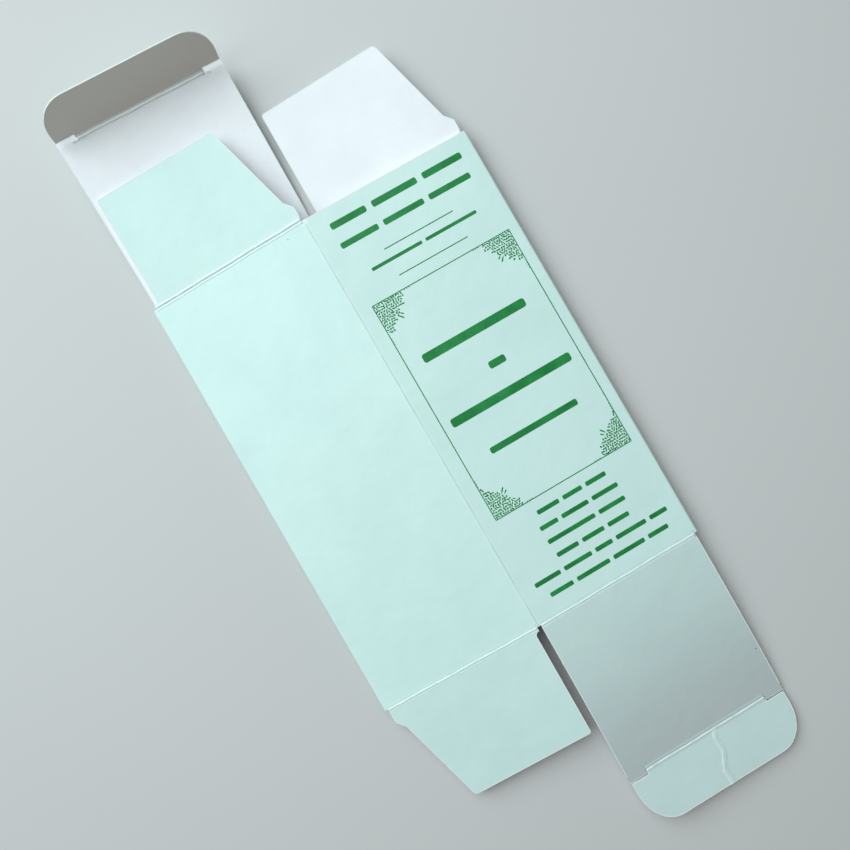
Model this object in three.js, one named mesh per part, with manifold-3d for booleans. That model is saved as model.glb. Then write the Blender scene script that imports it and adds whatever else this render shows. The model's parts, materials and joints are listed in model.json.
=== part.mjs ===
// A folding carton of thin paperboard, flattened after use and lying on a table.
// The tube of four panels is pressed nearly flat, and all six end flaps lie open.
// Millimetres; X across the carton, Y along it towards its top end, Z up.
import * as THREE from "three";
import Module from "manifold-3d";

// Driving dimensions
const FACE_WIDTH = 60; // front and back panels, crease to crease
const SIDE_WIDTH = 57.5; // two side panels, crease to crease
const HEIGHT = 150; // panels, top crease to bottom crease
const BOARD = 0.45; // board thickness
const FACE_TILT = 4; // degrees, front and back panels against the table
const SIDE_TILT = 4.2; // degrees, side panels against the table
const EDGE_RADIUS = 0.3; // inner radius of the two folds pressed flat
const RIDGE_RADIUS = 1.2; // inner radius of the two folds that open out
const GLUE_FLAP = 14; // seam flap glued inside a side panel
const CREASE_GAP = 0.3; // between a panel and its flap, at the crease
const LID_LENGTH = 59.8; // lid, hinge crease to tongue crease
const TONGUE_DEPTH = 16.5; // tongue, crease to free edge
const TONGUE_CORNER = 10; // tongue corner, measured across
const TONGUE_SIDE = 4; // straight part of the tongue's sides
const SLIT_INSET = 6.5; // slits at both ends of the tongue crease
const SLIT_STEP = 1.5; // crease between the slits, set back towards the lid
const DUST_DEPTH = 38.4; // dust flaps, crease to free edge
const ROOT_INSET = 0.5; // both ends of every flap's crease
const DUST_NOTCH = 2.2; // undercut beside the dust flap's crease
const DUST_INSET = 2.6; // dust flap's straight side at its free edge
const DUST_SHOULDER = 4.9; // straight shoulder on the dust flap's other side
const DUST_SLANT = 11.2; // what the slanted side takes off the free edge
const DUST_FILLET = 1; // rounded corner of a dust flap
const LID_PITCH = 6.2; // degrees, top lid lifted from the back panel
const LID_TWIST = 2.4; // top lid, how much its far left corner stands up
const TONGUE_FOLD = 67; // degrees, top tongue folded in
const DUST_PITCH = 4; // degrees, right top dust flap lifted
const LAY_CLEARANCE = 0.35; // under a flap that lies on another one
const DUST_TWIST = 2.8; // left top dust flap, its free right corner below the left one
const LID_SAG = 4.1; // bottom lid, drop of its far edge
const TONGUE_RISE = 10; // degrees, bottom tongue against its lid
const DUST_DROOP = 2.5; // degrees, left bottom dust flap, downwards
const WRINKLE_START = 26.2; // the wrinkle on the bottom tongue, from its right side at the crease
const WRINKLE = 0.22; // height of the wrinkle across the bottom tongue

const DEG = Math.PI / 180;
const wasm = await Module();
wasm.setup();

// Joins and cuts

function solidOf(geometry) {
  const position = geometry.getAttribute("position");
  const index = geometry.index;
  const count = index ? index.count : position.count;
  const seen = new Map();
  const vertices = [];
  const triVerts = new Uint32Array(count);
  for (let i = 0; i < count; i++) {
    const j = index ? index.getX(i) : i;
    const p = [position.getX(j), position.getY(j), position.getZ(j)];
    const key = p.map((value) => Math.round(value * 1e4)).join(" ");
    if (!seen.has(key)) {
      seen.set(key, vertices.length / 3);
      vertices.push(...p);
    }
    triVerts[i] = seen.get(key);
  }
  return new wasm.Manifold(
    new wasm.Mesh({ numProp: 3, vertProperties: new Float32Array(vertices), triVerts }),
  );
}

function geometryOf(solid) {
  const mesh = solid.getMesh();
  const geometry = new THREE.BufferGeometry();
  const position = new THREE.BufferAttribute(new Float32Array(mesh.vertProperties), 3);
  geometry.setAttribute("position", position);
  geometry.setIndex(new THREE.BufferAttribute(new Uint32Array(mesh.triVerts), 1));
  geometry.computeVertexNormals();
  return geometry;
}

// Cross-section of the tube: a sheet that runs once round as a flat parallelogram,
// from the raw edge of the right back panel to the glue flap that lies on it.

function arcPoints(from, heading, radius, turn) {
  const steps = Math.max(3, Math.ceil(turn / (16 * DEG)));
  const centre = [from[0] - radius * Math.sin(heading), from[1] + radius * Math.cos(heading)];
  const points = [];
  for (let i = 1; i <= steps; i++) {
    const angle = heading + (turn * i) / steps;
    points.push([
      centre[0] + radius * Math.sin(angle),
      centre[1] - radius * Math.cos(angle),
      angle,
    ]);
  }
  return points;
}

// Middle line of the sheet as [x, z, heading]; the last turns are split so that
// the glue flap ends parallel to the panel it is glued to.
function middleLine(edgeTurn) {
  const opening = (FACE_TILT + SIDE_TILT) * DEG;
  const fold = Math.PI - opening;
  const edge = EDGE_RADIUS + BOARD / 2;
  const ridge = RIDGE_RADIUS + BOARD / 2;
  const lost = (edge * fold + ridge * opening) / 2;
  const panels = {};
  const line = [];
  let at = [0, 0];
  let heading = SIDE_TILT * DEG;
  const straight = (name, length) => {
    const to = [at[0] + length * Math.cos(heading), at[1] + length * Math.sin(heading)];
    panels[name] = { from: at, to, heading };
    line.push([...at, heading], [...to, heading]);
    at = to;
  };
  const turn = (radius, angle) => {
    const points = arcPoints(at, heading, radius, angle);
    line.push(...points);
    at = points.at(-1).slice(0, 2);
    heading += angle;
  };
  straight("right_back", SIDE_WIDTH - lost);
  turn(edge, fold);
  straight("front", FACE_WIDTH - lost);
  turn(ridge, opening);
  straight("left_side", SIDE_WIDTH - lost);
  turn(edge, edgeTurn);
  straight("back", FACE_WIDTH - lost);
  turn(ridge, Math.PI - edgeTurn);
  straight("glue", GLUE_FLAP);
  return { line, panels };
}

// Height of the glue flap's middle line above that of the panel under it.
function seamOffset(edgeTurn) {
  const glue = middleLine(edgeTurn).panels.glue;
  const heading = SIDE_TILT * DEG;
  return glue.from[1] * Math.cos(heading) - glue.from[0] * Math.sin(heading);
}

function solveEdgeTurn() {
  const middle = Math.PI - (FACE_TILT + SIDE_TILT) * DEG;
  let low = middle - 3 * DEG;
  let high = middle + 3 * DEG;
  for (let i = 0; i < 50; i++) {
    const guess = (low + high) / 2;
    if (seamOffset(guess) > BOARD) high = guess;
    else low = guess;
  }
  return (low + high) / 2;
}

const section = middleLine(solveEdgeTurn());

// A point beside the middle line, outwards when the distance is positive.
function beside([x, z], heading, distance) {
  return [x + distance * Math.sin(heading), z - distance * Math.cos(heading)];
}

function sleeveGeometry() {
  const half = BOARD / 2;
  const { line, panels } = section;
  const ring = line.slice(0, -2);
  const glue = panels.glue;
  const raw = panels.right_back;
  const along = [Math.cos(raw.heading), Math.sin(raw.heading)];
  const offset = [glue.from[0] - raw.from[0], glue.from[1] - raw.from[1]];
  const reach = offset[0] * along[0] + offset[1] * along[1];
  const start = Math.max(reach + CREASE_GAP, 0);
  const rawPoint = [raw.from[0] + start * along[0], raw.from[1] + start * along[1]];
  const outer = [beside(rawPoint, raw.heading, half)];
  ring.slice(1).forEach((p) => outer.push(beside(p, p[2], half)));
  outer.push(beside(rawPoint, raw.heading, -half));
  const step = beside(glue.to, glue.heading, half);
  const inner = [step, beside(glue.to, glue.heading, -half)];
  ring.slice(1).reverse().forEach((p) => inner.push(beside(p, p[2], -half)));
  const apart = (p, q) => Math.hypot(p[0] - q[0], p[1] - q[1]) > 1e-3;
  const clean = (points) => points.filter((p, i) => i === 0 || apart(p, points[i - 1]));
  const toVectors = (points) => clean(points).map(([x, z]) => new THREE.Vector2(x, -z));
  const shape = new THREE.Shape(toVectors(outer));
  shape.holes.push(new THREE.Path(toVectors(inner)));
  const geometry = new THREE.ExtrudeGeometry(shape, { depth: HEIGHT, bevelEnabled: false });
  geometry.rotateX(-Math.PI / 2);
  geometry.translate(0, -HEIGHT / 2, 0);
  return geometry;
}

// Flaps, each drawn in its own frame: x along the crease, y outwards, z up.
// The crease line is y = 0; the board lies under z = 0 or over it.

function bowedPlate(outline, surface, columns, rows) {
  const shape = new THREE.Shape(outline);
  const box = new THREE.Box2().setFromPoints(shape.getPoints(12));
  const prism = new THREE.ExtrudeGeometry(shape, { depth: 60, bevelEnabled: false, curveSegments: 12 });
  prism.translate(0, 0, -30);
  const x0 = box.min.x - 1;
  const y0 = box.min.y - 1;
  const dx = (box.max.x - box.min.x + 2) / columns;
  const dy = (box.max.y - box.min.y + 2) / rows;
  const position = [];
  const index = [];
  const corner = (i, j, upper) => (j * (columns + 1) + i) * 2 + upper;
  for (let j = 0; j <= rows; j++)
    for (let i = 0; i <= columns; i++) {
      const x = x0 + i * dx;
      const y = y0 + j * dy;
      const z = surface(x, y);
      position.push(x, y, z, x, y, z + BOARD);
    }
  const quad = (a, b, c, d) => index.push(a, b, c, a, c, d);
  for (let j = 0; j < rows; j++)
    for (let i = 0; i < columns; i++) {
      quad(corner(i, j, 1), corner(i + 1, j, 1), corner(i + 1, j + 1, 1), corner(i, j + 1, 1));
      quad(corner(i, j, 0), corner(i, j + 1, 0), corner(i + 1, j + 1, 0), corner(i + 1, j, 0));
    }
  for (let i = 0; i < columns; i++) {
    quad(corner(i, 0, 0), corner(i + 1, 0, 0), corner(i + 1, 0, 1), corner(i, 0, 1));
    quad(corner(i + 1, rows, 0), corner(i, rows, 0), corner(i, rows, 1), corner(i + 1, rows, 1));
  }
  for (let j = 0; j < rows; j++) {
    quad(corner(0, j + 1, 0), corner(0, j, 0), corner(0, j, 1), corner(0, j + 1, 1));
    quad(corner(columns, j, 0), corner(columns, j + 1, 0), corner(columns, j + 1, 1), corner(columns, j, 1));
  }
  const plate = new THREE.BufferGeometry();
  plate.setAttribute("position", new THREE.Float32BufferAttribute(position, 3));
  plate.setIndex(index);
  return geometryOf(solidOf(plate).intersect(solidOf(prism)));
}

function flatPlate(outline, under) {
  const shape = new THREE.Shape(outline);
  const geometry = new THREE.ExtrudeGeometry(shape, {
    depth: BOARD,
    bevelEnabled: false,
    curveSegments: 12,
  });
  geometry.translate(0, 0, under ? -BOARD : 0);
  return geometry;
}

const point = (x, y) => new THREE.Vector2(x, y);

// Points of a quarter ellipse between two corners of its box.
function quarter(from, to, firstAlongY) {
  const points = [];
  for (let i = 1; i < 8; i++) {
    const angle = (i / 8) * (Math.PI / 2);
    const s = firstAlongY ? 1 - Math.cos(angle) : Math.sin(angle);
    const r = firstAlongY ? Math.sin(angle) : 1 - Math.cos(angle);
    points.push(point(from.x + (to.x - from.x) * s, from.y + (to.y - from.y) * r));
  }
  return points;
}

// A lid with the set-back crease between its two slits.
function lidOutline(width) {
  const near = CREASE_GAP / 2;
  const side = LID_LENGTH;
  const back = LID_LENGTH - SLIT_STEP;
  return [
    point(ROOT_INSET, near),
    point(width - ROOT_INSET, near),
    point(width - 0.1, side),
    point(width - SLIT_INSET, side),
    point(width - SLIT_INSET, back),
    point(SLIT_INSET, back),
    point(SLIT_INSET, side),
    point(0.1, side),
  ];
}

// A tongue; its crease line y = 0 is the middle of the gap between the slits.
function tongueOutline(width) {
  const near = CREASE_GAP / 2;
  const side = SLIT_STEP + near + CREASE_GAP / 2;
  const free = SLIT_STEP + near + TONGUE_DEPTH;
  const bend = side + TONGUE_SIDE;
  const corner = TONGUE_CORNER;
  const right = width - 0.4;
  const left = 0.4;
  return [
    point(SLIT_INSET + 0.2, near),
    point(width - SLIT_INSET - 0.2, near),
    point(width - SLIT_INSET - 0.2, side),
    point(right, side),
    point(right, bend),
    ...quarter(point(right, bend), point(right - corner, free), true),
    point(right - corner, free),
    point(left + corner, free),
    ...quarter(point(left + corner, free), point(left, bend), false),
    point(left, bend),
    point(left, side),
    point(SLIT_INSET + 0.2, side),
  ];
}

// A dust flap: undercut straight side at x = 0, shoulder and slant at the other.
function dustOutline(width) {
  const near = CREASE_GAP / 2;
  const free = DUST_DEPTH;
  const slantTop = width - DUST_SLANT;
  const shoulder = width - 2.9;
  return [
    point(ROOT_INSET, near),
    point(width - ROOT_INSET, near),
    point(width - ROOT_INSET, DUST_SHOULDER),
    point(shoulder, DUST_SHOULDER + 2.8),
    point(slantTop + DUST_FILLET * 0.35, free - DUST_FILLET),
    point(slantTop - DUST_FILLET * 0.1, free - DUST_FILLET * 0.35),
    point(slantTop - DUST_FILLET, free),
    point(DUST_INSET + DUST_FILLET * 0.5, free),
    point(DUST_INSET, free - DUST_FILLET * 0.5),
    point(DUST_NOTCH, DUST_NOTCH),
  ];
}

// Placing: the frame of a crease at the end of a panel.

function creaseEnds(name, outside) {
  const { from, to, heading } = section.panels[name];
  const distance = outside ? BOARD / 2 : -BOARD / 2;
  const a = beside(from, heading, distance);
  const b = beside(to, heading, distance);
  return a[0] < b[0] ? [a, b] : [b, a];
}

function creaseFrame(group, name, outside, top) {
  const [left, right] = creaseEnds(name, outside);
  const start = top ? left : right;
  const end = top ? right : left;
  const x = new THREE.Vector3(end[0] - start[0], 0, end[1] - start[1]).normalize();
  const y = new THREE.Vector3(0, top ? 1 : -1, 0);
  const z = new THREE.Vector3().crossVectors(x, y);
  group.matrix.makeBasis(x, y, z);
  const endY = (top ? 1 : -1) * (HEIGHT / 2 + CREASE_GAP / 2);
  group.matrix.setPosition(start[0], endY, start[1]);
  group.matrix.decompose(group.position, group.quaternion, group.scale);
  return group;
}

function creaseLength(name) {
  const { from, to } = section.panels[name];
  return Math.hypot(to[0] - from[0], to[1] - from[1]);
}

// How far the top lid stands off its flat shape: its far left corner is up, its right one down.
function lidTwist(x, y, width) {
  const share = (Math.max(y, 0) / LID_LENGTH) ** 2;
  return LID_TWIST * share * (1 - (1.25 * x) / width);
}

// How far the bottom lid has sagged at a distance from its crease.
function lidDrop(distance) {
  return LID_SAG * (Math.max(distance, 0) / LID_LENGTH) ** 1.7;
}

function pieceOf(name, geometry, color) {
  const material = new THREE.MeshStandardMaterial({ color, roughness: 0.7 });
  material.name = name;
  const mesh = new THREE.Mesh(geometry, material);
  mesh.name = name;
  return mesh;
}

function hinge(name, angle) {
  const group = new THREE.Group();
  group.name = name;
  group.rotation.x = angle * DEG;
  return group;
}

const carton = new THREE.Group();
carton.name = "carton";
const MINT = 0xc4e4de;
const INSIDE = 0xe8f2f6;

carton.add(pieceOf("sleeve", sleeveGeometry(), MINT));

function addCrease(name, panel, outside, top) {
  const frame = creaseFrame(new THREE.Group(), panel, outside, top);
  frame.name = name;
  carton.add(frame);
  return frame;
}

// Top lid on the back panel, folding back about its outer face, and its tongue.
{
  const width = creaseLength("back");
  const frame = addCrease("top_lid_crease", "back", true, true);
  const lift = hinge("top_lid_hinge", LID_PITCH);
  frame.add(lift);
  const twist = (x, y) => lidTwist(x, y, width);
  lift.add(pieceOf("top_lid", bowedPlate(lidOutline(width), twist, 12, 20), INSIDE));
  const endY = LID_LENGTH - SLIT_STEP + CREASE_GAP / 2;
  const end = new THREE.Group();
  end.position.set(0, endY, twist(0, endY) + BOARD);
  end.rotation.y = Math.atan((twist(0, endY) - twist(width, endY)) / width);
  lift.add(end);
  const tongue = hinge("top_tongue_hinge", TONGUE_FOLD);
  end.add(tongue);
  tongue.add(pieceOf("top_tongue", flatPlate(tongueOutline(width), true), INSIDE));
}

// Left top dust flap: springs from the left side panel and comes to lie on the lid.
{
  const width = creaseLength("left_side");
  const frame = addCrease("top_left_dust_crease", "left_side", true, true);
  const [left, right] = creaseEnds("left_side", true);
  const [lidLeft, lidRight] = creaseEnds("back", false);
  const lidSlope = (lidRight[1] - lidLeft[1]) / (lidRight[0] - lidLeft[0]);
  const slope = (right[1] - left[1]) / (right[0] - left[0]);
  const drop = left[1] - lidLeft[1] - (left[0] - lidLeft[0]) * lidSlope;
  const onLid = (x) => {
    const twisted = lidTwist(x, DUST_DEPTH, creaseLength("back"));
    return DUST_DEPTH * Math.tan(LID_PITCH * DEG) + twisted - drop - x * (slope - lidSlope);
  };
  const rise = onLid(DUST_INSET) + LAY_CLEARANCE + BOARD;
  const surface = (x, y) => {
    const edge = rise - DUST_TWIST * ((x - DUST_INSET) / width);
    return (edge * Math.max(y, 0)) / DUST_DEPTH - BOARD;
  };
  frame.add(pieceOf("top_left_dust_flap", bowedPlate(dustOutline(width), surface, 16, 12), MINT));
}

// Right top dust flap on the right back panel, a little lifted.
{
  const width = creaseLength("right_back");
  const frame = addCrease("top_right_dust_crease", "right_back", false, true);
  const lift = hinge("top_right_dust_hinge", DUST_PITCH);
  frame.add(lift);
  lift.add(pieceOf("top_right_dust_flap", flatPlate(dustOutline(width), true), INSIDE));
}

// Bottom lid on the front panel, sagging to the table, and its wrinkled tongue.
{
  const width = creaseLength("front");
  const frame = addCrease("bottom_lid_crease", "front", true, false);
  const sag = (x, y) => -lidDrop(y) - BOARD;
  frame.add(pieceOf("bottom_lid", bowedPlate(lidOutline(width), sag, 6, 24), MINT));
  const endY = LID_LENGTH - SLIT_STEP + CREASE_GAP / 2;
  const endSlope = Math.atan(lidDrop(endY + 0.5) - lidDrop(endY - 0.5)) / DEG;
  const tongue = hinge("bottom_tongue_hinge", TONGUE_RISE - endSlope);
  tongue.position.set(0, endY, sag(0, endY));
  frame.add(tongue);
  const wrinkle = (x, y) => {
    const middle = WRINKLE_START + 0.24 * y + 0.6 * Math.sin(y * 0.6);
    const share = Math.min(Math.max(y / 2, 0), 1);
    return WRINKLE * share * Math.exp(-(((x - middle) / 0.6) ** 2));
  };
  tongue.add(pieceOf("bottom_tongue", bowedPlate(tongueOutline(width), wrinkle, 90, 14), MINT));
}

// Left bottom dust flap, drooping a little.
{
  const width = creaseLength("left_side");
  const frame = addCrease("bottom_left_dust_crease", "left_side", false, false);
  const droop = hinge("bottom_left_dust_hinge", -DUST_DROOP);
  frame.add(droop);
  droop.add(pieceOf("bottom_left_dust_flap", flatPlate(dustOutline(width), false), MINT));
}

// Right bottom dust flap, hidden under the bottom lid, which presses its outer side down.
{
  const width = creaseLength("right_back");
  const frame = addCrease("bottom_right_dust_crease", "right_back", true, false);
  const press = (x, y) => -lidDrop(y) * (1 - x / width);
  const plate = bowedPlate(dustOutline(width), press, 8, 12);
  frame.add(pieceOf("bottom_right_dust_flap", plate, INSIDE));
}

// The object's frame: centred in plan, its lowest point on the table.
const whole = new THREE.Group();
whole.name = "flattened_carton";
whole.add(carton);
carton.updateMatrixWorld(true);
const bounds = new THREE.Box3();
carton.traverse((o) => {
  if (o.isMesh) bounds.union(new THREE.Box3().setFromObject(o, true));
});
const middleOf = bounds.getCenter(new THREE.Vector3());
carton.position.set(-middleOf.x, -middleOf.y, -bounds.min.z);

export default whole;
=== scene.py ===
import json
import math
import random
from collections import namedtuple

import bmesh
import bpy
from mathutils import Matrix, Vector
from mathutils.bvhtree import BVHTree


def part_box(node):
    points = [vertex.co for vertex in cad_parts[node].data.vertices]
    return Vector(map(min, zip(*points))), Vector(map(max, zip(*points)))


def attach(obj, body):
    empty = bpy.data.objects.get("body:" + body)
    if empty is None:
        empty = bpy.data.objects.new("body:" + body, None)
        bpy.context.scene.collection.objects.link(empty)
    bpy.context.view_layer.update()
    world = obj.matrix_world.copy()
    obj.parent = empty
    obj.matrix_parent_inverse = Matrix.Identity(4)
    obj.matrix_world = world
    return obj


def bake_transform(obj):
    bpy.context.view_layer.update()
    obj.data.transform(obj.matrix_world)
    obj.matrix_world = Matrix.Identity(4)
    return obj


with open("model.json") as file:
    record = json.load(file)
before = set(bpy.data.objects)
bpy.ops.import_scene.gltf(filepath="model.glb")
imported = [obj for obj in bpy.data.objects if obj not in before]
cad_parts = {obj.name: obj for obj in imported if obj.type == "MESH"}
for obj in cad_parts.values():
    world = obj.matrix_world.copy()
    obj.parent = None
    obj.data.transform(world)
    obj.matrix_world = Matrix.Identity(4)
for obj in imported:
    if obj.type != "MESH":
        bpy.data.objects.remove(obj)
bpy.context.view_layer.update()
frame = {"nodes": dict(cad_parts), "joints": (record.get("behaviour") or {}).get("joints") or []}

# The carton's own sizes, in millimetres
MM = 0.001
BOARD = 0.45
FACE_WIDTH = 60
SIDE_WIDTH = 57.5
PANEL_FOLD = 0.44  # what half a fold takes off a panel's flat width
FACE_CREASE = FACE_WIDTH - 2 * PANEL_FOLD
SIDE_CREASE = SIDE_WIDTH - 2 * PANEL_FOLD
SLIT_INSET = 6.5
PANEL_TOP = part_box("sleeve")[1][1] / MM
RIDGE_X = -1.36
RIDGE_LEVEL = 9.7  # height of the opened fold beside the front panel
FOLD_LEVEL = 4.86  # height of both pressed folds
TUBE_SHAPE = (0.3, 0, 42)  # across, along, up: weights that point out of the flat tube
SPECK_POINTS = 9
FACE_SPAN = (0.6, FACE_CREASE - 0.6)  # how far a crease strip reaches along its crease
SIDE_SPAN = (0.6, SIDE_CREASE - 0.6)
SLIT_SPAN = (SLIT_INSET + 0.4, FACE_CREASE - SLIT_INSET - 0.4)
STRIP_WIDTH = 1.4  # a crease's beads and grooves reach this far to both sides
STRIP_SKIN = 0.03  # how far a crease strip stands off the board
STRIP_STEPS = [STRIP_WIDTH * (i / 14 - 1) for i in range(29)]
STRIP_STATIONS = 90
RIM_WIDTH = 0.26
SLEEVE_RIM = 0.42
CREASE_CLEARANCE = 0.8  # a rim stays this far from the line of a crease
WRINKLE_START = 26.2  # from the right side of the bottom tongue, at its crease
WRINKLE_LEAN = 0.24
WRINKLE_SWAY = 0.6
WRINKLE_WAVE = 0.6  # radians of sway to a millimetre
WRINKLE_SHOULDER = 0.5  # where the print has cracked and a highlight is painted, from the wrinkle's crest
DROP_HEIGHT = 100  # specks are dropped onto the board from here
FLOOR_SIZE = 1500
FLOOR_LEVEL = -0.05

# Angles of the open flaps at rest, in degrees against their panels
TOP_LID_ANGLE = 6.2
TOP_TONGUE_ANGLE = 67
TOP_LEFT_DUST_ANGLE = 4.5
TOP_RIGHT_DUST_ANGLE = 4
LID_END_ANGLE = -6.5
BOTTOM_TONGUE_ANGLE = 10
BOTTOM_LEFT_DUST_ANGLE = -2.5

# Print on the front panel, in millimetres: x from the ridge to the right, y down from
# the top edge. A line of print is left end, right end, baseline, height, bars, seed.
INK = 0.03  # how far the print stands off the board, so that it renders cleanly
INK_ROOT = 0.01  # how far it reaches into the board
UPPER_LINES = ((6.6, 55, 8.4, 4.5, 3, 3), (6.4, 54.3, 15.2, 4.0, 3, 5))
SMALL_LINE = (11.3, 50, 26, 2.8, 2, 6)
BOLD_LINES = ((11, 49, 60.5, 6, 1, 7), (8.5, 53, 83, 6, 1, 8), (28.4, 34.4, 72.4, 5, 1, 9))
MIDDLE_LINE = (15, 47.4, 96, 4.3, 1, 10)
LOWER_LINES = ((18, 43.6, 120, 3, 3, 20), (16.2, 45.2, 125, 3, 3, 21), (16.3, 45.1, 129.9, 3, 2, 22),
               (16.7, 43.7, 134.9, 3, 3, 23), (5.6, 55.1, 139.8, 3, 5, 24), (8.5, 52.7, 144.8, 3, 4, 25))
RULE_SPAN = (18, 43.5)
RULE_HEIGHTS = (20.9, 30.5)
RULE_WIDTH = 0.34
FRAME_BOX = (5.4, 56.2, 35.0, 114.0)
FRAME_LINE = 0.32
LEAF_STEP = 0.86
LEAF_ROWS = 14
ORNAMENT_REACH = 11.2

# Light in metres and watts, camera in millimetres
KEY_PLACE = Vector((-0.22, 0.40, 0.59))
KEY_TARGET = Vector((0.02, 0.05, 0.0))
KEY_SIZE = 1.0
KEY_SPREAD = 120
KEY_POWER = 4.3
SKY_STRENGTH = 0.17
CAMERA_PLACE = Vector((2.03, PANEL_TOP - 77.12, 281.1))
CAMERA_RIGHT = Vector((0.865068, -0.501555, -0.010007))
CAMERA_UP = Vector((0.501563, 0.865119, -0.001898))
LENS = 36  # as long as the sensor is wide

# Colours, linear
MINT = (0.68, 0.88, 0.82)
MINT_DEEP = (0.645, 0.84, 0.79)
# rubbed wear in random patches; also the painted highlight on the rim of the ridge's scored line
MINT_WORN_AND_HIGHLIGHT = (0.84, 0.94, 0.92)
# painted shade: a darker grey of the mint, for the lower flaps and their creases
MINT_SHADE_GREY = (0.53, 0.57, 0.57)
INSIDE = (0.94, 0.95, 0.955)
INSIDE_DULL = (0.88, 0.89, 0.905)
# painted shade: a darker, warm white for the inside of the top tongue, which stands in shade
INSIDE_WARM_SHADE = (0.74, 0.69, 0.64)
CUT_EDGE = (0.90, 0.93, 0.92)
# white of rubbed wear and torn fibres; also the painted highlight on crease beads and along the wrinkle
WEAR_AND_HIGHLIGHT_WHITE = (0.93, 0.98, 0.97)
# painted shade, with some dirt, in the grooves of a crease
GROOVE_SHADE_AND_DIRT = (0.40, 0.58, 0.53)
INK_GREEN = (0.003, 0.185, 0.035)
SPECK = (0.10, 0.14, 0.13)
# painted shade in the scored line of the ridge
GROOVE_SHADE_GREEN = (0.36, 0.50, 0.38)
EDGE_WHITE = (0.90, 0.94, 0.93)
# painted shade: a darker, warm white for the cut edge of the top tongue
EDGE_WARM_SHADE = (0.86, 0.86, 0.78)
FLOOR_DARK = (0.62, 0.61, 0.595)
FLOOR_LIGHT = (0.64, 0.63, 0.615)
KEY_COLOUR = (0.81, 0.94, 0.99)
SKY_COLOUR = (1.0, 0.93, 0.88)


# Node helpers


def new_material(name):
    material = bpy.data.materials.new(name)
    material.use_nodes = True
    tree = material.node_tree
    tree.nodes.clear()
    output = tree.nodes.new("ShaderNodeOutputMaterial")
    shader = tree.nodes.new("ShaderNodeBsdfPrincipled")
    tree.links.new(shader.outputs[0], output.inputs[0])
    return material, tree, shader


def connect(tree, value, socket):
    if isinstance(value, bpy.types.NodeSocket):
        tree.links.new(value, socket)
    elif isinstance(value, (tuple, list, Vector)) and len(value) == 3 and socket.type == "RGBA":
        socket.default_value = (*value, 1)
    else:
        socket.default_value = value


def calc(tree, operation, a, b=0.0, clamp=False):
    node = tree.nodes.new("ShaderNodeMath")
    node.operation = operation
    node.use_clamp = clamp
    connect(tree, a, node.inputs[0])
    connect(tree, b, node.inputs[1])
    return node.outputs[0]


def vector_calc(tree, operation, a, b=(0, 0, 0)):
    node = tree.nodes.new("ShaderNodeVectorMath")
    node.operation = operation
    connect(tree, a, node.inputs[0])
    connect(tree, b, node.inputs[1])
    return node.outputs["Value" if operation == "DOT_PRODUCT" else 0]


def noise(tree, vector, scale, detail=3.0, roughness=0.55):
    node = tree.nodes.new("ShaderNodeTexNoise")
    connect(tree, vector, node.inputs["Vector"])
    node.inputs["Scale"].default_value = scale
    node.inputs["Detail"].default_value = detail
    node.inputs["Roughness"].default_value = roughness
    return node.outputs[0]


def remap(tree, value, low, high, to_low=0.0, to_high=1.0):
    node = tree.nodes.new("ShaderNodeMapRange")
    node.interpolation_type = "SMOOTHSTEP"
    connect(tree, value, node.inputs["Value"])
    node.inputs["From Min"].default_value = low
    node.inputs["From Max"].default_value = high
    node.inputs["To Min"].default_value = to_low
    node.inputs["To Max"].default_value = to_high
    return node.outputs[0]


def mix(tree, share, a, b):
    node = tree.nodes.new("ShaderNodeMix")
    node.data_type = "RGBA"
    connect(tree, share, node.inputs[0])
    connect(tree, a, node.inputs[6])
    connect(tree, b, node.inputs[7])
    return node.outputs[2]


def bump(tree, height, distance, strength=1.0, normal=None):
    node = tree.nodes.new("ShaderNodeBump")
    node.inputs["Strength"].default_value = strength
    node.inputs["Distance"].default_value = distance
    connect(tree, height, node.inputs["Height"])
    if normal is not None:
        connect(tree, normal, node.inputs["Normal"])
    return node.outputs[0]


# Materials


def object_place(tree):
    return tree.nodes.new("ShaderNodeTexCoord").outputs["Object"]


def parts_of(tree, vector):
    """The three numbers of a place, as outputs of one node."""
    node = tree.nodes.new("ShaderNodeSeparateXYZ")
    tree.links.new(vector, node.inputs[0])
    return node.outputs


def object_normal(tree):
    geometry = tree.nodes.new("ShaderNodeNewGeometry")
    turn = tree.nodes.new("ShaderNodeVectorTransform")
    turn.vector_type = "NORMAL"
    turn.convert_from = "WORLD"
    turn.convert_to = "OBJECT"
    tree.links.new(geometry.outputs["True Normal"], turn.inputs[0])
    return turn.outputs[0]


def sides_of_flap(tree, outward):
    """Shares of printed outside and bare inside, from the direction of the face."""
    facing = vector_calc(tree, "DOT_PRODUCT", object_normal(tree), outward)
    return remap(tree, facing, 0.35, 0.6), remap(tree, facing, -0.35, -0.6)


def sides_of_tube(tree, place):
    """The same for the tube, whose outside faces away from its middle."""
    normal = object_normal(tree)
    middle = vector_calc(tree, "SUBTRACT", place, (0, 0, FOLD_LEVEL * MM))
    away = vector_calc(tree, "MULTIPLY", middle, TUBE_SHAPE)
    facing = vector_calc(tree, "DOT_PRODUCT", normal, away)
    end_cut = vector_calc(tree, "DOT_PRODUCT", normal, (0, 1, 0))
    wall = calc(tree, "LESS_THAN", calc(tree, "ABSOLUTE", end_cut), 0.5)
    outside = calc(tree, "MULTIPLY", calc(tree, "GREATER_THAN", facing, 0.0), wall)
    inside = calc(tree, "MULTIPLY", calc(tree, "LESS_THAN", facing, 0.0), wall)
    return outside, inside


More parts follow.
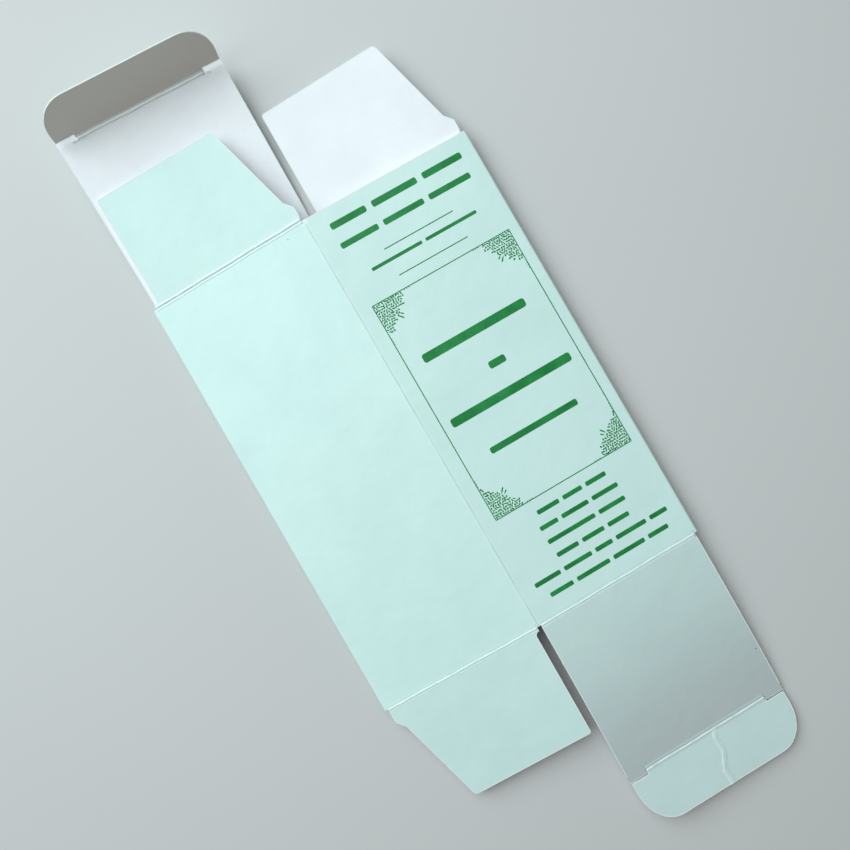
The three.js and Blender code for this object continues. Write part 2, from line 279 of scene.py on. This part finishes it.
def board(name, outward=None, detail=None, shade_grey=0.0, warm_shade=0.0):
    """Paperboard: printed mint outside, bare white inside, white where it is cut. Two shares paint shade
    into it: a grey over the mint and a warm, darker white over the inside.
    """
    material, tree, shader = new_material(name)
    place = object_place(tree)
    if outward is None:
        outside, inside = sides_of_tube(tree, place)
    else:
        outside, inside = sides_of_flap(tree, outward)
    clouds = noise(tree, place, 42, 4)
    fibres = noise(tree, vector_calc(tree, "MULTIPLY", place, (1, 0.55, 1)), 1900, 4, 0.7)
    waves = noise(tree, place, 95, 2)
    rubbed = remap(tree, noise(tree, place, 260, 5, 0.7), 0.62, 0.8)
    mint = mix(tree, remap(tree, clouds, 0.3, 0.7), MINT_DEEP, MINT)
    mint = mix(tree, remap(tree, fibres, 0.3, 0.72, 0.0, 0.22), mint, MINT_DEEP)
    mint = mix(tree, calc(tree, "MULTIPLY", rubbed, 0.1), mint, MINT_WORN_AND_HIGHLIGHT)
    # painted shade: grey over the mint
    mint = mix(tree, shade_grey, mint, MINT_SHADE_GREY)
    bare = mix(tree, remap(tree, clouds, 0.32, 0.7), INSIDE_DULL, INSIDE)
    bare = mix(tree, remap(tree, fibres, 0.35, 0.7, 0.0, 0.5), bare, INSIDE_DULL)
    # painted shade: a darker, warm white over the inside
    bare = mix(tree, warm_shade, bare, INSIDE_WARM_SHADE)
    height = fibres
    if detail is not None:
        mint, height = detail(tree, place, mint, height)
    colour = mix(tree, outside, mix(tree, inside, CUT_EDGE, bare), mint)
    connect(tree, colour, shader.inputs["Base Color"])
    gloss = calc(tree, "MULTIPLY", outside, -0.24)
    rough = calc(tree, "ADD", remap(tree, fibres, 0.2, 0.8, 0.66, 0.8), gloss)
    connect(tree, rough, shader.inputs["Roughness"])
    shader.inputs["Specular IOR Level"].default_value = 0.35
    soft = bump(tree, waves, 0.28 * MM, 0.9)
    connect(tree, bump(tree, height, 0.035 * MM, 0.8, soft), shader.inputs["Normal"])
    return material


def ridge_detail(tree, place, mint, height):
    """The two opened folds of the tube: a scored line darkened with painted shade, its rim lightened
    with a painted highlight.
    """
    off = calc(tree, "SUBTRACT", parts_of(tree, place)[0], RIDGE_X * MM)
    wander = calc(tree, "MULTIPLY", noise(tree, place, 60, 2), 0.3 * MM)
    off = calc(tree, "ABSOLUTE", calc(tree, "ADD", off, calc(tree, "SUBTRACT", wander, 0.15 * MM)))
    groove = remap(tree, off, 0.0, 0.4 * MM, 1.0, 0.0)
    near = remap(tree, off, 0.4 * MM, 1.2 * MM, 1.0, 0.0)
    edge = calc(tree, "SUBTRACT", near, groove, clamp=True)
    broken = remap(tree, noise(tree, place, 150, 4), 0.3, 0.6, 0.45, 1.0)
    line = calc(tree, "MULTIPLY", groove, broken)
    # painted shade in the scored line
    mint = mix(tree, calc(tree, "MULTIPLY", line, 0.55), mint, GROOVE_SHADE_GREEN)
    # painted highlight on its rim
    mint = mix(tree, calc(tree, "MULTIPLY", edge, 0.2), mint, MINT_WORN_AND_HIGHLIGHT)
    corner = vector_calc(tree, "SUBTRACT", place, (RIDGE_X * MM, PANEL_TOP * MM, RIDGE_LEVEL * MM))
    reach = calc(tree, "SQRT", vector_calc(tree, "DOT_PRODUCT", corner, corner))
    reach = calc(tree, "ADD", reach, calc(tree, "MULTIPLY", noise(tree, place, 500, 3), 3 * MM))
    mint = mix(tree, remap(tree, reach, 1.5 * MM, 3.8 * MM, 0.75, 0.0), mint, WEAR_AND_HIGHLIGHT_WHITE)
    return mint, calc(tree, "SUBTRACT", height, calc(tree, "MULTIPLY", line, 1.5))


def shade_gradient_detail(tree, place, mint, height):
    """The bottom lid, with painted shade: its mint goes darker and greyer from its crease to its far
    edge, where the lid bends down away from the light.
    """
    # painted shade, darker towards the far edge
    share = remap(tree, parts_of(tree, place)[1], -75 * MM, -125 * MM, 0.36, 0.92)
    return mix(tree, share, mint, MINT_SHADE_GREY), height


def crease_board(name, outward, shade_grey=0.0):
    """The board at a crease: white on its beads, painted highlight with rubbed wear, and darker in its
    grooves, painted shade with some dirt.
    """
    material, tree, shader = new_material(name)
    place = object_place(tree)
    outside, inside = sides_of_flap(tree, outward)
    attribute = tree.nodes.new("ShaderNodeAttribute")
    attribute.attribute_name = "relief"
    relief = attribute.outputs["Fac"]
    fibres = noise(tree, place, 1700, 4, 0.7)
    patches = noise(tree, place, 420, 3)
    mint = mix(tree, remap(tree, patches, 0.3, 0.7), MINT_DEEP, MINT)
    # painted shade: grey over the mint at the lower creases
    mint = mix(tree, shade_grey, mint, MINT_SHADE_GREY)
    bare = mix(tree, remap(tree, patches, 0.3, 0.7), INSIDE_DULL, INSIDE)
    colour = mix(tree, outside, mix(tree, inside, CUT_EDGE, bare), mint)
    # painted highlight with rubbed wear on the beads
    bead_highlight_and_wear = calc(tree, "ADD", relief, calc(tree, "MULTIPLY", patches, 0.5))
    colour = mix(tree, remap(tree, bead_highlight_and_wear, 0.45, 0.9), colour, WEAR_AND_HIGHLIGHT_WHITE)
    # painted shade with some dirt in the grooves
    colour = mix(tree, remap(tree, relief, -0.12, -0.6, 0.0, 0.8), colour, GROOVE_SHADE_AND_DIRT)
    connect(tree, colour, shader.inputs["Base Color"])
    connect(tree, remap(tree, fibres, 0.2, 0.8, 0.6, 0.8), shader.inputs["Roughness"])
    shader.inputs["Specular IOR Level"].default_value = 0.3
    connect(tree, bump(tree, fibres, 0.04 * MM, 0.9), shader.inputs["Normal"])
    return material


def cut_edge(name, colour):
    """The raw, slightly fluffy core of the board where it is cut."""
    material, tree, shader = new_material(name)
    place = object_place(tree)
    fibres = noise(tree, place, 2400, 4, 0.75)
    darker = tuple(c * 0.82 for c in colour)
    share = remap(tree, fibres, 0.3, 0.7)
    connect(tree, mix(tree, share, darker, colour), shader.inputs["Base Color"])
    connect(tree, remap(tree, fibres, 0.3, 0.7, 0.8, 0.95), shader.inputs["Roughness"])
    shader.inputs["Specular IOR Level"].default_value = 0.2
    connect(tree, bump(tree, fibres, 0.04 * MM, 1.0), shader.inputs["Normal"])
    return material


def wrinkle_detail(tree, place, mint, height):
    """The wrinkle across the bottom tongue: white along its shoulders, partly cracked print and partly a
    painted highlight.
    """
    parts = parts_of(tree, place)
    origin = joint_frame("bottom_tongue_hinge")[0]
    across = calc(tree, "DIVIDE", calc(tree, "SUBTRACT", origin.x * MM, parts[0]), MM)
    along = calc(tree, "DIVIDE", calc(tree, "SUBTRACT", origin.y * MM, parts[1]), MM)
    wave = calc(tree, "SINE", calc(tree, "MULTIPLY", along, WRINKLE_WAVE))
    lean = calc(tree, "MULTIPLY", along, WRINKLE_LEAN)
    middle = calc(tree, "ADD", lean, calc(tree, "MULTIPLY", wave, WRINKLE_SWAY))
    off = calc(tree, "SUBTRACT", calc(tree, "SUBTRACT", across, WRINKLE_START), middle)
    ragged = calc(tree, "SUBTRACT", calc(tree, "MULTIPLY", noise(tree, place, 900, 4), 0.5), 0.25)
    off = calc(tree, "ABSOLUTE", calc(tree, "ADD", off, ragged))
    side = calc(tree, "ABSOLUTE", calc(tree, "SUBTRACT", off, WRINKLE_SHOULDER))
    cracked_and_highlit = remap(tree, side, 0.08, 0.26, 1.0, 0.0)
    broken = remap(tree, noise(tree, place, 500, 3), 0.35, 0.55)
    # painted highlight, with cracked print, along the shoulders
    share = calc(tree, "MULTIPLY", calc(tree, "MULTIPLY", cracked_and_highlit, broken), 0.5)
    return mix(tree, share, mint, WEAR_AND_HIGHLIGHT_WHITE), calc(tree, "ADD", height, share)


def ink(name, colour):
    """A thin, slightly mottled layer of ink or dirt."""
    material, tree, shader = new_material(name)
    place = object_place(tree)
    grain = noise(tree, place, 2600, 4, 0.7)
    patches = noise(tree, place, 180, 3)
    lighter = tuple(min(1.0, c * 1.5 + 0.012) for c in colour)
    share = remap(tree, calc(tree, "ADD", grain, patches), 0.75, 1.35)
    connect(tree, mix(tree, share, colour, lighter), shader.inputs["Base Color"])
    connect(tree, remap(tree, grain, 0.3, 0.7, 0.42, 0.6), shader.inputs["Roughness"])
    shader.inputs["Specular IOR Level"].default_value = 0.35
    connect(tree, bump(tree, grain, 0.02 * MM, 0.5), shader.inputs["Normal"])
    return material


def floor_material():
    """A plain pale floor with hardly any mottling."""
    material, tree, shader = new_material("pale_floor")
    place = object_place(tree)
    share = noise(tree, place, 9, 3)
    connect(tree, mix(tree, share, FLOOR_DARK, FLOOR_LIGHT), shader.inputs["Base Color"])
    shader.inputs["Roughness"].default_value = 0.9
    shader.inputs["Specular IOR Level"].default_value = 0.1
    return material


# Meshes


def add_mesh(name, points, faces, material, smooth=False):
    mesh = bpy.data.meshes.new(name)
    mesh.from_pydata([tuple(c * MM for c in p) for p in points], [], faces)
    mesh.validate()
    mesh.update()
    mesh.materials.append(material)
    mesh.polygons.foreach_set("use_smooth", [smooth] * len(mesh.polygons))
    obj = bpy.data.objects.new(name, mesh)
    bpy.context.scene.collection.objects.link(obj)
    return obj


def joint_named(name):
    return next(j for j in frame["joints"] if j["name"] == name)


def joint_frame(name, pitch=0.0):
    """Origin and axes of a crease, in millimetres: x along it, y out of the parent, z up."""
    joint = joint_named(name)
    origin = Vector(joint["pos_m"]) / MM
    x = Vector(joint["axis"]).normalized()
    turn = Matrix.Rotation(math.radians(pitch), 3, x)
    y = turn @ Vector((0, math.copysign(1, origin.y), 0))
    return origin, x, y, x.cross(y)


def smoothstep(value, low, high):
    t = min(max((value - low) / (high - low), 0.0), 1.0)
    return t * t * (3 - 2 * t)


def crease_relief(across, along, profile, phases):
    """Height of the beads (positive) and grooves (negative) beside a crease, in mm."""
    a, b, c = phases
    drift = 0.07 * math.sin(along * 0.33 + a) + 0.035 * math.sin(along * 1.3 + b)
    ripple = 0.78 + 0.14 * math.sin(along * 0.8 + b) + 0.08 * math.sin(along * 2.1 + c)
    height = 0.0
    for centre, width, rise in profile:
        height += rise * ripple * math.exp(-(((across - centre - drift) / width) ** 2))
    return height * (1 - smoothstep(abs(across), STRIP_WIDTH - 0.5, STRIP_WIDTH))


def crease_ring(along, low, high, profile, phases):
    """One cross-section of a crease strip: offset, height and relief of each of its points."""
    ring = []
    for across in STRIP_STEPS:
        relief = crease_relief(across, along, profile, phases)
        sunk = 2 * STRIP_SKIN * smoothstep(abs(across), STRIP_WIDTH - 0.4, STRIP_WIDTH)
        ring.append((across, high + STRIP_SKIN + relief - sunk, relief))
    for across in STRIP_STEPS[::-4]:
        relief = -0.5 * crease_relief(across, along, profile, phases)
        sunk = 2 * STRIP_SKIN * smoothstep(abs(across), STRIP_WIDTH - 0.4, STRIP_WIDTH)
        ring.append((across, low - STRIP_SKIN - 0.3 * max(-relief, 0) + sunk, relief))
    return ring


def skin_faces(count, stations):
    """Faces of a closed skin over cross-sections of count points each, with both ends."""
    faces = []
    for k in range(stations):
        for i in range(count):
            a = k * count + i
            b = k * count + (i + 1) % count
            faces.append((a, b, b + count, a + count))
    faces.append(tuple(reversed(range(count))))
    faces.append(tuple(range(stations * count, (stations + 1) * count)))
    return faces


def crease_strip(node, flap, material, seed):
    """The scored board that bridges the gap at a crease, with its beads and grooves."""
    origin, x, y, z = joint_frame(flap.joint, flap.pitch)
    rng = random.Random(seed)
    phases = [rng.uniform(0, 2 * math.pi) for _ in range(3)]
    low, high = (0.0, BOARD) if flap.over else (-BOARD, 0.0)
    start, end = flap.span
    points = []
    reliefs = []
    for k in range(STRIP_STATIONS + 1):
        along = start + (end - start) * k / STRIP_STATIONS
        ring = crease_ring(along, low, high, flap.profile, phases)
        for across, height, relief in ring:
            turn = math.radians(flap.angle) * smoothstep(across, -0.35, 0.35)
            out = across * math.cos(turn) - height * math.sin(turn)
            up = across * math.sin(turn) + height * math.cos(turn)
            points.append(origin + x * along + y * out + z * up)
            reliefs.append(relief / 0.2)
    faces = skin_faces(len(ring), STRIP_STATIONS)
    obj = add_mesh("crease_" + node.removesuffix("_flap"), points, faces, material, smooth=True)
    obj.data.attributes.new("relief", "FLOAT", "POINT").data.foreach_set("value", reliefs)
    start = (origin - y * 0.2) * MM
    end = (origin + y * 0.2) * MM
    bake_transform(obj)


def crease_distance(point):
    """Distance from a point to the nearest line of a crease, in millimetres."""
    distances = []
    for joint in frame["joints"]:
        off = point - Vector(joint["pos_m"]) / MM
        distances.append(off.cross(Vector(joint["axis"]).normalized()).length)
    return min(distances)


def clear_of_creases(start, end):
    """A rim's two ends, drawn back from any crease, or nothing where it runs along one."""
    if crease_distance((start + end) / 2) < CREASE_CLEARANCE:
        return None
    way = (end - start).normalized() * CREASE_CLEARANCE
    if crease_distance(start) < CREASE_CLEARANCE:
        start = start + way
    if crease_distance(end) < CREASE_CLEARANCE:
        end = end - way
    return start, end


def rim(node, across, material, width=RIM_WIDTH):
    """The white line of a cut edge: a fine chamfer along every rim of a flap or of the tube."""
    shape = bmesh.new()
    shape.from_mesh(frame["nodes"][node].data)
    bmesh.ops.remove_doubles(shape, verts=shape.verts, dist=1e-6)
    shape.normal_update()
    points = []
    faces = []
    for edge in shape.edges:
        if len(edge.link_faces) != 2:
            continue
        sheet, cut = sorted(edge.link_faces, key=lambda f: -abs(f.normal.dot(across)))
        if abs(sheet.normal.dot(across)) < 0.75 or abs(cut.normal.dot(across)) > 0.5:
            continue
        ends = clear_of_creases(*(vertex.co / MM for vertex in edge.verts))
        if ends is None:
            continue
        n, w = sheet.normal, cut.normal
        # out from the cut and up from the board
        section = ((0.015, -0.16), (0.02, 0.015), (-width, 0.015), (-width, -0.05))
        base = len(points)
        for end in ends:
            for out, up in section:
                points.append(end + w * out + n * up)
        faces += [(base, base + 1, base + 2, base + 3), (base + 7, base + 6, base + 5, base + 4)]
        for i in range(4):
            j = (i + 1) % 4
            faces.append((base + i, base + 4 + i, base + 4 + j, base + j))
    shape.free()
    obj = add_mesh("cut_edge_" + node, points, faces, material)
    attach(obj, node)


def speck(name, node, x, y, width, material, rise=0.05, stretch=0.7):
    """A speck of dirt or a torn fibre, dropped straight down onto the board."""
    data = frame["nodes"][node].data
    shape = BVHTree.FromPolygons([v.co for v in data.vertices], [p.vertices for p in data.polygons])
    spot = shape.ray_cast(Vector((x, y, DROP_HEIGHT)) * MM, Vector((0, 0, -1)))[0] / MM
    rng = random.Random(width)
    points = []
    for reach, level in ((1.0, -0.02), (0.7, 0.7 * rise)):
        for i in range(SPECK_POINTS):
            a = 2 * math.pi * i / SPECK_POINTS
            r = 0.5 * width * reach * rng.uniform(0.8, 1.15)
            points.append(spot + Vector((r * math.cos(a), stretch * r * math.sin(a), level)))
    points.append(spot + Vector((0, 0, rise)))
    faces = [tuple(reversed(range(SPECK_POINTS)))]
    for i in range(SPECK_POINTS):
        j = (i + 1) % SPECK_POINTS
        faces.append((i, j, SPECK_POINTS + j, SPECK_POINTS + i))
        faces.append((SPECK_POINTS + i, SPECK_POINTS + j, 2 * SPECK_POINTS))
    obj = add_mesh(name, points, faces, material, smooth=True)
    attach(obj, node)


# Print


def front_point(x, y, h):
    """A point of the front panel, h above the board."""
    origin, along, _, up = joint_frame("bottom_lid_hinge")
    ridge = origin + along * (FACE_WIDTH - PANEL_FOLD)
    return Vector((ridge.x, PANEL_TOP - y, ridge.z)) - along * x + up * h


def add_print(name, outlines, material):
    """Flat closed outlines as one thin raised layer of ink."""
    points = []
    faces = []
    for outline in outlines:
        n = len(outline)
        base = len(points)
        points += [front_point(x, y, -INK_ROOT) for x, y in outline]
        points += [front_point(x, y, INK) for x, y in outline]
        area = sum(a[0] * b[1] - b[0] * a[1] for a, b in zip(outline, outline[1:] + outline[:1]))
        lower = list(range(base, base + n))
        upper = list(range(base + n, base + 2 * n))
        if area < 0:
            lower, upper = lower[::-1], upper[::-1]
        faces.append(tuple(upper[::-1]))
        faces.append(tuple(lower))
        for i in range(n):
            j = (i + 1) % n
            faces.append((lower[j], upper[j], upper[i], lower[i]))
    obj = add_mesh(name, points, faces, material)
    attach(obj, "sleeve")


def bar(x0, x1, y0, y1, radius):
    """A rounded rectangle."""
    radius = min(radius, (x1 - x0) / 2, (y1 - y0) / 2)
    corners = ((x1 - radius, y0 + radius, -90), (x1 - radius, y1 - radius, 0),
               (x0 + radius, y1 - radius, 90), (x0 + radius, y0 + radius, 180))
    outline = []
    for cx, cy, start in corners:
        for i in range(5):
            a = math.radians(start + i * 22.5)
            outline.append((cx + radius * math.cos(a), cy + radius * math.sin(a)))
    return outline


def line_bars(x0, x1, baseline, height, count, seed, weight=0.5):
    """A line of print as a few plain bars of uneven length."""
    rng = random.Random(seed)
    gap = 0.5 * height
    shares = [rng.uniform(0.7, 1.5) for _ in range(count)]
    room = x1 - x0 - gap * (count - 1)
    outlines = []
    x = x0
    for share in shares:
        width = room * share / sum(shares)
        middle = baseline - 0.45 * height
        half = 0.5 * weight * height
        outlines.append(bar(x, x + width, middle - half, middle + half, 0.6 * half))
        x += width + gap
    return outlines


def leaf(x, y, length, angle, width):
    """A drop-shaped leaf that grows from x, y."""
    a = math.radians(angle)
    outline = []
    for i in range(8):
        t = 2 * math.pi * i / 8
        u = length * (0.5 + 0.5 * math.cos(t))
        v = width * math.sin(t) * (0.35 + 0.65 * (u / length))
        outline.append((x + u * math.cos(a) - v * math.sin(a), y + u * math.sin(a) + v * math.cos(a)))
    return outline


def corner_ornament(seed):
    """Dense foliage that fills a corner at the origin, open to +x and +y."""
    rng = random.Random(seed)
    outlines = []
    for row in range(LEAF_ROWS):
        for column in range(LEAF_ROWS):
            x = 0.55 + LEAF_STEP * column + 0.3 * (row % 2) + rng.uniform(-0.12, 0.12)
            y = 0.55 + LEAF_STEP * row + rng.uniform(-0.12, 0.12)
            reach = ORNAMENT_REACH - 2.4 * abs(math.sin(2 * math.atan2(y, x))) + rng.uniform(-0.7, 0.7)
            if math.hypot(x, y) > reach or x > 10.8 or y > 11.4:
                continue
            swirl = 150 * math.sin(0.62 * x + 0.3) * math.sin(0.62 * y + 0.3)
            angle = 45 + swirl + rng.uniform(-25, 25)
            length = rng.uniform(0.85, 1.15)
            way = math.radians(angle)
            root = (x - 0.5 * length * math.cos(way), y - 0.5 * length * math.sin(way))
            outlines.append(leaf(*root, length, angle, rng.uniform(0.3, 0.42)))
    outlines.append(leaf(5.7, 6.4, 2.4, 50, 0.34))
    outlines.append(leaf(6.5, 5.9, 1.7, 40, 0.3))
    for i in range(3):
        outlines.append(leaf(11.4 + 0.9 * i, 0.25, 0.6, 12, 0.13))
        outlines.append(leaf(0.25, 11.9 + 0.9 * i, 0.6, 78, 0.13))
    return outlines


def frame_ornaments():
    """The ornament in the four corners of the frame, each grown from its own seed."""
    x0, x1, y0, y1 = FRAME_BOX
    outlines = []
    for fx, sx in ((x0, 1), (x1, -1)):
        for fy, sy in ((y0, 1), (y1, -1)):
            for outline in corner_ornament(int(10 * fx + fy)):
                outlines.append([(fx + sx * x, fy + sy * y) for x, y in outline])
    return outlines


def frame_lines():
    """Two lines across and two down."""
    x0, x1, y0, y1 = FRAME_BOX
    half = FRAME_LINE / 2
    across = [bar(x0, x1, y - half, y + half, 0.05) for y in (y0, y1)]
    return across + [bar(x - half, x + half, y0, y1, 0.05) for x in (x0, x1)]


def print_lines(name, lines, material, weight=0.5):
    outlines = []
    for line in lines:
        outlines += line_bars(*line, weight)
    add_print(name, outlines, material)


def build_print():
    green = ink("green_ink", INK_GREEN)
    print_lines("print_upper_lines", UPPER_LINES, green)
    print_lines("print_upper_small_line", [SMALL_LINE], green, 0.4)
    half = RULE_WIDTH / 2
    rules = [bar(*RULE_SPAN, y - half, y + half, 0.1) for y in RULE_HEIGHTS]
    add_print("print_rules", rules, green)
    add_print("print_frame", frame_lines(), green)
    add_print("print_corner_ornaments", frame_ornaments(), green)
    print_lines("print_bold_lines", BOLD_LINES, green)
    print_lines("print_middle_line", [MIDDLE_LINE], green)
    print_lines("print_lower_lines", LOWER_LINES, green)


# Dressing the CAD nodes

# How far painted shade greys the mint of a flap, and how far painted warm shade darkens the white inside
# of one
SHADE_GREYING = {"bottom_tongue": 0.3, "bottom_left_dust_flap": 0.06}
SHADE_GREYING_CREASE = {"bottom_lid": 0.15, "bottom_tongue": 0.6}
WARM_SHADE = {"top_tongue": 1.0}
DETAILS = {"bottom_lid": shade_gradient_detail, "bottom_tongue": wrinkle_detail}

# What a crease looks like across: middle, width and height of its beads and grooves
SOFT = ((0.4, 0.3, 0.1), (-0.1, 0.14, -0.08))
RIDGED = ((0.55, 0.36, 0.22), (0.0, 0.22, -0.2), (-0.55, 0.25, 0.16), (-1.0, 0.2, -0.05))
BEADED = ((0.0, 0.24, 0.19), (-0.5, 0.2, -0.07), (0.5, 0.18, -0.05))
CRACKED = ((-0.3, 0.14, -0.22), (0.25, 0.26, 0.18))
ROLLED = ((-0.3, 0.42, 0.75), (-1.0, 0.16, -0.25))

# A flap: its joint, the pitch of what it hangs on, its own angle there, the way its
# printed side faces, whether the board lies over the crease line, span and profile.
Flap = namedtuple("Flap", "joint pitch angle way over span profile")
FLAPS = {
    "top_lid": Flap("top_lid_hinge", 0, TOP_LID_ANGLE, -1, True, FACE_SPAN, SOFT),
    "top_tongue": Flap("top_tongue_hinge", TOP_LID_ANGLE, TOP_TONGUE_ANGLE, -1, False,
                       SLIT_SPAN, ROLLED),
    "top_left_dust_flap": Flap("top_left_dust_hinge", 0, TOP_LEFT_DUST_ANGLE, 1, False,
                               SIDE_SPAN, RIDGED),
    "top_right_dust_flap": Flap("top_right_dust_hinge", 0, TOP_RIGHT_DUST_ANGLE, -1, False,
                                SIDE_SPAN, SOFT),
    "bottom_lid": Flap("bottom_lid_hinge", 0, 0, 1, False, FACE_SPAN, BEADED),
    "bottom_tongue": Flap("bottom_tongue_hinge", LID_END_ANGLE, BOTTOM_TONGUE_ANGLE, 1, True,
                          SLIT_SPAN, CRACKED),
    "bottom_left_dust_flap": Flap("bottom_left_dust_hinge", 0, BOTTOM_LEFT_DUST_ANGLE, 1, True,
                                  SIDE_SPAN, BEADED),
    "bottom_right_dust_flap": Flap("bottom_right_dust_hinge", 0, 0, -1, True, SIDE_SPAN, SOFT),
}


def outward_of(flap):
    """The direction that a flap's printed side faces."""
    return joint_frame(flap.joint, flap.pitch + flap.angle)[3] * flap.way


def dress_nodes():
    materials = {"sleeve": board("board_sleeve", None, ridge_detail)}
    for node, flap in FLAPS.items():
        # painted shade: grey over the mint of the lower flaps, warm dark over the inside of the top
        # tongue
        shade_grey, warm_shade = SHADE_GREYING.get(node, 0.0), WARM_SHADE.get(node, 0.0)
        outward = tuple(outward_of(flap))
        materials[node] = board("board_" + node, outward, DETAILS.get(node), shade_grey, warm_shade)
    for node, material in materials.items():
        data = frame["nodes"][node].data
        data.materials.clear()
        data.materials.append(material)


def build_creases():
    for seed, (node, flap) in enumerate(FLAPS.items(), 11):
        # painted shade: grey over the mint of the lower creases
        shade_grey = SHADE_GREYING_CREASE.get(node, 0.0)
        material = crease_board("crease_" + node, tuple(outward_of(flap)), shade_grey)
        crease_strip(node, flap, material, seed)


def build_rims():
    white = cut_edge("cut_edge_white", EDGE_WHITE)
    # painted shade on the cut edge of the top tongue
    warm_shade = cut_edge("cut_edge_warm_shade", EDGE_WARM_SHADE)
    rim("sleeve", Vector((0, 0, 1)), white, SLEEVE_RIM)
    for node, flap in FLAPS.items():
        material = warm_shade if node == "top_tongue" else white
        rim(node, outward_of(flap), material)


def build_specks_and_tears():
    dark = ink("dark_speck", SPECK)
    speck("speck_left_panel", "sleeve", -8.8, 78.6, 0.5, dark)
    speck("speck_bottom_lid", "bottom_lid", 56.0, -111.7, 0.6, dark)
    white = cut_edge("torn_fibres", WEAR_AND_HIGHLIGHT_WHITE)
    rng = random.Random(31)
    origin, x, y, _ = joint_frame("top_tongue_hinge", TOP_LID_ANGLE)
    for side, middle in (("left", SLIT_INSET), ("right", FACE_CREASE - SLIT_INSET)):
        for i in range(6):
            spot = origin + x * (middle + rng.uniform(-1.6, 1.6)) - y * rng.uniform(0.5, 1.1)
            speck(f"torn_{side}_{i + 1}", "top_lid", spot.x, spot.y, rng.uniform(0.8, 1.5), white,
                  rng.uniform(0.12, 0.3), 0.45)


# Stage, light and camera


def build_stage():
    corners = ((-1, -1), (1, -1), (1, 1), (-1, 1))
    points = [(FLOOR_SIZE * x, FLOOR_SIZE * y, FLOOR_LEVEL) for x, y in corners]
    floor = add_mesh("floor", points, [(0, 1, 2, 3)], floor_material())
    world = bpy.data.worlds.new("studio")
    bpy.context.scene.world = world
    world.use_nodes = True
    background = world.node_tree.nodes["Background"]
    background.inputs[0].default_value = (*SKY_COLOUR, 1)
    background.inputs[1].default_value = SKY_STRENGTH


def build_light():
    """One large soft light above the top end, a little to the left."""
    light = bpy.data.lights.new("key", "AREA")
    light.shape = "DISK"
    light.size = KEY_SIZE
    light.spread = math.radians(KEY_SPREAD)
    light.energy = KEY_POWER
    light.color = KEY_COLOUR
    obj = bpy.data.objects.new("key", light)
    obj.location = KEY_PLACE
    obj.rotation_euler = (KEY_PLACE - KEY_TARGET).to_track_quat("Z", "Y").to_euler()
    bpy.context.scene.collection.objects.link(obj)


def build_camera():
    """Straight above the carton, and turned so that the carton lies at a slant."""
    camera = bpy.data.objects.new("camera", bpy.data.cameras.new("camera"))
    camera.data.sensor_width = LENS
    camera.data.lens = LENS
    camera.data.clip_start = 10 * MM
    back = CAMERA_RIGHT.cross(CAMERA_UP).normalized()
    up = back.cross(CAMERA_RIGHT).normalized()
    turn = Matrix((CAMERA_RIGHT.normalized(), up, back)).transposed().to_4x4()
    camera.matrix_world = Matrix.Translation(CAMERA_PLACE * MM) @ turn
    bpy.context.scene.collection.objects.link(camera)
    bpy.context.scene.camera = camera
    bpy.context.scene.view_settings.view_transform = "Standard"


dress_nodes()
build_creases()
build_rims()
build_print()
build_specks_and_tears()
build_stage()
build_light()
build_camera()
